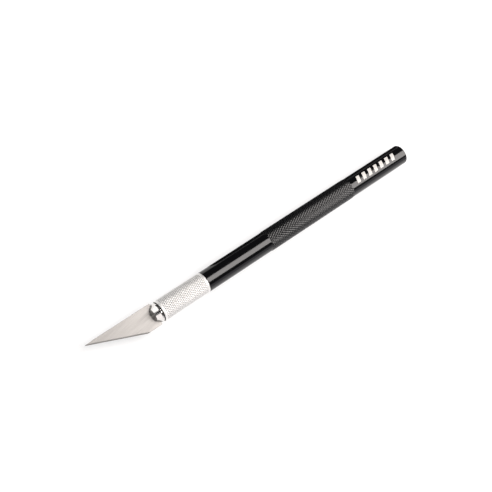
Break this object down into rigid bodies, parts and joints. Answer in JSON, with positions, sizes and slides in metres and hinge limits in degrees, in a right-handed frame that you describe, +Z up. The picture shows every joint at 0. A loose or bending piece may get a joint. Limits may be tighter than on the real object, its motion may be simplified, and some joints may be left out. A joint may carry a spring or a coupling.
{
  "type": "hobby craft knife",
  "caption": "Slim pen-shaped hobby knife: knurled round handle, knurled collar, slotted screw chuck and replaceable pointed blade.",
  "frame": {"origin": "bottom centre of the knife's box: under the middle of the knife's length and of the blade's width, at the height of the surface that the grip rests on", "axes": "+X along the knife from the blade's tip to the handle's rear end, +Y towards the blade's spine, +Z up from the flat of the blade"},
  "size_m": [0.1512, 0.0086, 0.0083],
  "materials": {
    "anodised_handle": "black anodised, glossy where plain, fine diamond knurl on the grip",
    "bare_aluminium": "bright, fine diamond knurl",
    "nickel_chuck": "polished nickel plate",
    "ground_steel": "fine ground lines, bright bevel on the cutting edge"
  },
  "bodies": {
    "handle": {"handle": "anodised_handle"},
    "collar": {"collar": "bare_aluminium"},
    "chuck": {"chuck_shank": "nickel_chuck"},
    "jaw_spine_upper": {"jaw_spine_upper": "nickel_chuck"},
    "jaw_edge_upper": {"jaw_edge_upper": "nickel_chuck"},
    "jaw_edge_lower": {"jaw_edge_lower": "nickel_chuck"},
    "jaw_spine_lower": {"jaw_spine_lower": "nickel_chuck"},
    "blade": {"blade": "ground_steel"}
  },
  "joints": [
    {"name": "collar_turn", "type": "hinge", "parent": "handle", "child": "collar", "pos_m": [-0.03685, 0, 0.00415], "axis": [-1, 0, 0], "range_deg": [0, 450]},
    {"name": "chuck_draw", "type": "slide", "parent": "collar", "child": "chuck", "axis": [-1, 0, 0], "range_m": [0, 0.001]},
    {"name": "spine_upper_jaw_spring", "type": "hinge", "parent": "chuck", "child": "jaw_spine_upper", "pos_m": [-0.03285, 0.00085, 0.005], "axis": [0, 0.7071, -0.7071], "range_deg": [0, 1.2]},
    {"name": "edge_upper_jaw_spring", "type": "hinge", "parent": "chuck", "child": "jaw_edge_upper", "pos_m": [-0.03285, -0.00085, 0.005], "axis": [0, 0.7071, 0.7071], "range_deg": [0, 1.2]},
    {"name": "edge_lower_jaw_spring", "type": "hinge", "parent": "chuck", "child": "jaw_edge_lower", "pos_m": [-0.03285, -0.00085, 0.0033], "axis": [0, -0.7071, 0.7071], "range_deg": [0, 1.2]},
    {"name": "spine_lower_jaw_spring", "type": "hinge", "parent": "chuck", "child": "jaw_spine_lower", "pos_m": [-0.03285, 0.00085, 0.0033], "axis": [0, -0.7071, -0.7071], "range_deg": [0, 1.2]},
    {"name": "blade_pull", "type": "slide", "parent": "chuck", "child": "blade", "axis": [-1, 0, 0], "range_m": [0, 0.0156]}
  ],
  "couplings": [
    {"joint": "collar_turn", "follows": "chuck_draw", "rad_per_m": 7853.9},
    {"joint": "spine_upper_jaw_spring", "follows": "chuck_draw", "rad_per_m": 20.94},
    {"joint": "edge_upper_jaw_spring", "follows": "chuck_draw", "rad_per_m": 20.94},
    {"joint": "edge_lower_jaw_spring", "follows": "chuck_draw", "rad_per_m": 20.94},
    {"joint": "spine_lower_jaw_spring", "follows": "chuck_draw", "rad_per_m": 20.94}
  ]
}
